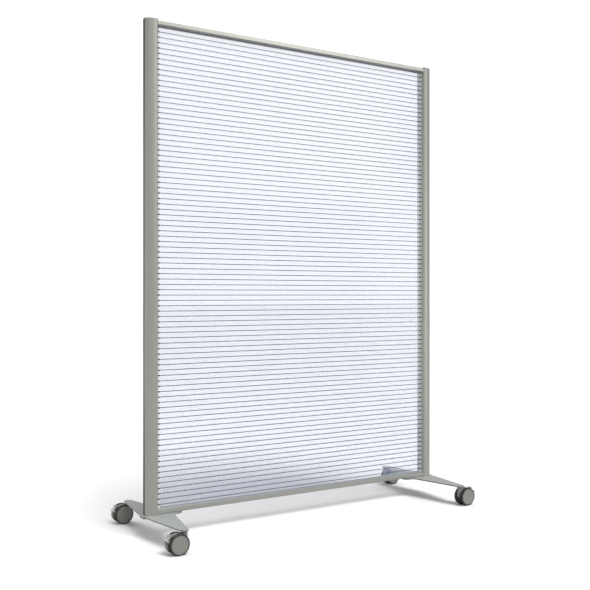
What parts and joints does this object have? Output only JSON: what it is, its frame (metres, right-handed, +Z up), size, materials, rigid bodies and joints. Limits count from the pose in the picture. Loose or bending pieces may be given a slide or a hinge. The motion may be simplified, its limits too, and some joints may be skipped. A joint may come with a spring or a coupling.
{
  "type": "rolling partition",
  "caption": "Mobile room divider: a clear ribbed twin-wall sheet in an aluminium frame, standing on T-shaped feet with braked twin-wheel swivel casters.",
  "frame": {"origin": "on the floor, under the middle of the sheet", "axes": "+X along the width, to the right seen from the front; +Y through the thickness, from front to rear; +Z up"},
  "size_m": [1.4384, 0.554, 1.922],
  "materials": {
    "post_metal": "satin anodised, warm silver",
    "rail_metal": "satin anodised, warm silver",
    "clear_sheet": "clear glossy twin-wall sheet",
    "seal_rubber": "grey, matt",
    "cap_plastic": "silver-grey, fine grain",
    "strip_plastic": "dark grey",
    "plain_steel": "zinc plated",
    "foot_paint": "silver-grey powder coat",
    "caster_plastic": "grey, fine grain",
    "bush_plastic": "dark bearing plastic",
    "wheel_plastic": "grey, fine grain",
    "tread": "soft dark grey tread"
  },
  "bodies": {
    "frame": {"left_post": "post_metal", "right_post": "post_metal", "top_rail": "rail_metal", "bottom_rail": "rail_metal", "sheet": "clear_sheet", "left_seal": "seal_rubber", "right_seal": "seal_rubber", "top_seal": "seal_rubber", "bottom_seal": "seal_rubber", "left_cap": "cap_plastic", "right_cap": "cap_plastic", "left_cover_strip": "strip_plastic", "right_cover_strip": "strip_plastic", "rail_screws": "plain_steel", "post_inserts": "plain_steel", "post_bolts": "plain_steel", "tongue_screws": "plain_steel", "caster_stems": "plain_steel", "left_foot": "foot_paint", "right_foot": "foot_paint", "rail_pads": "seal_rubber"},
    "front_left_caster": {"front_left_housing": "caster_plastic", "front_left_swivel_bush": "bush_plastic", "front_left_axle": "plain_steel", "front_left_pedal_pin": "plain_steel"},
    "front_left_inner_wheel": {"front_left_inner_hub": "wheel_plastic", "front_left_inner_tyre": "tread"},
    "front_left_outer_wheel": {"front_left_outer_hub": "wheel_plastic", "front_left_outer_tyre": "tread"},
    "front_left_pedal": {"front_left_brake_pedal": "caster_plastic"},
    "front_right_caster": {"front_right_housing": "caster_plastic", "front_right_swivel_bush": "bush_plastic", "front_right_axle": "plain_steel", "front_right_pedal_pin": "plain_steel"},
    "front_right_inner_wheel": {"front_right_inner_hub": "wheel_plastic", "front_right_inner_tyre": "tread"},
    "front_right_outer_wheel": {"front_right_outer_hub": "wheel_plastic", "front_right_outer_tyre": "tread"},
    "front_right_pedal": {"front_right_brake_pedal": "caster_plastic"},
    "rear_left_caster": {"rear_left_housing": "caster_plastic", "rear_left_swivel_bush": "bush_plastic", "rear_left_axle": "plain_steel", "rear_left_pedal_pin": "plain_steel"},
    "rear_left_inner_wheel": {"rear_left_inner_hub": "wheel_plastic", "rear_left_inner_tyre": "tread"},
    "rear_left_outer_wheel": {"rear_left_outer_hub": "wheel_plastic", "rear_left_outer_tyre": "tread"},
    "rear_left_pedal": {"rear_left_brake_pedal": "caster_plastic"},
    "rear_right_caster": {"rear_right_housing": "caster_plastic", "rear_right_swivel_bush": "bush_plastic", "rear_right_axle": "plain_steel", "rear_right_pedal_pin": "plain_steel"},
    "rear_right_inner_wheel": {"rear_right_inner_hub": "wheel_plastic", "rear_right_inner_tyre": "tread"},
    "rear_right_outer_wheel": {"rear_right_outer_hub": "wheel_plastic", "rear_right_outer_tyre": "tread"},
    "rear_right_pedal": {"rear_right_brake_pedal": "caster_plastic"}
  },
  "joints": [
    {"name": "front_left_swivel", "type": "hinge", "parent": "frame", "child": "front_left_caster", "pos_m": [-0.65, -0.2525, 0.079], "axis": [0, 0, 1], "continuous": true},
    {"name": "front_left_inner_roll", "type": "hinge", "parent": "front_left_caster", "child": "front_left_inner_wheel", "pos_m": [-0.675, -0.23525, 0.0375], "axis": [0, 1, 0], "continuous": true},
    {"name": "front_left_outer_roll", "type": "hinge", "parent": "front_left_caster", "child": "front_left_outer_wheel", "pos_m": [-0.675, -0.26975, 0.0375], "axis": [0, 1, 0], "continuous": true},
    {"name": "front_left_brake", "type": "hinge", "parent": "front_left_caster", "child": "front_left_pedal", "pos_m": [-0.70028, -0.2525, 0.05871], "axis": [0, -1, 0], "range_deg": [0, 8]},
    {"name": "front_right_swivel", "type": "hinge", "parent": "frame", "child": "front_right_caster", "pos_m": [0.65, -0.2525, 0.079], "axis": [0, 0, 1], "continuous": true},
    {"name": "front_right_inner_roll", "type": "hinge", "parent": "front_right_caster", "child": "front_right_inner_wheel", "pos_m": [0.675, -0.23525, 0.0375], "axis": [0, 1, 0], "continuous": true},
    {"name": "front_right_outer_roll", "type": "hinge", "parent": "front_right_caster", "child": "front_right_outer_wheel", "pos_m": [0.675, -0.26975, 0.0375], "axis": [0, 1, 0], "continuous": true},
    {"name": "front_right_brake", "type": "hinge", "parent": "front_right_caster", "child": "front_right_pedal", "pos_m": [0.70028, -0.2525, 0.05871], "axis": [0, 1, 0], "range_deg": [0, 8]},
    {"name": "rear_left_swivel", "type": "hinge", "parent": "frame", "child": "rear_left_caster", "pos_m": [-0.65, 0.2525, 0.079], "axis": [0, 0, 1], "continuous": true},
    {"name": "rear_left_inner_roll", "type": "hinge", "parent": "rear_left_caster", "child": "rear_left_inner_wheel", "pos_m": [-0.675, 0.23525, 0.0375], "axis": [0, 1, 0], "continuous": true},
    {"name": "rear_left_outer_roll", "type": "hinge", "parent": "rear_left_caster", "child": "rear_left_outer_wheel", "pos_m": [-0.675, 0.26975, 0.0375], "axis": [0, 1, 0], "continuous": true},
    {"name": "rear_left_brake", "type": "hinge", "parent": "rear_left_caster", "child": "rear_left_pedal", "pos_m": [-0.70028, 0.2525, 0.05871], "axis": [0, -1, 0], "range_deg": [0, 8]},
    {"name": "rear_right_swivel", "type": "hinge", "parent": "frame", "child": "rear_right_caster", "pos_m": [0.65, 0.2525, 0.079], "axis": [0, 0, 1], "continuous": true},
    {"name": "rear_right_inner_roll", "type": "hinge", "parent": "rear_right_caster", "child": "rear_right_inner_wheel", "pos_m": [0.675, 0.23525, 0.0375], "axis": [0, 1, 0], "continuous": true},
    {"name": "rear_right_outer_roll", "type": "hinge", "parent": "rear_right_caster", "child": "rear_right_outer_wheel", "pos_m": [0.675, 0.26975, 0.0375], "axis": [0, 1, 0], "continuous": true},
    {"name": "rear_right_brake", "type": "hinge", "parent": "rear_right_caster", "child": "rear_right_pedal", "pos_m": [0.70028, 0.2525, 0.05871], "axis": [0, 1, 0], "range_deg": [0, 8]}
  ]
}
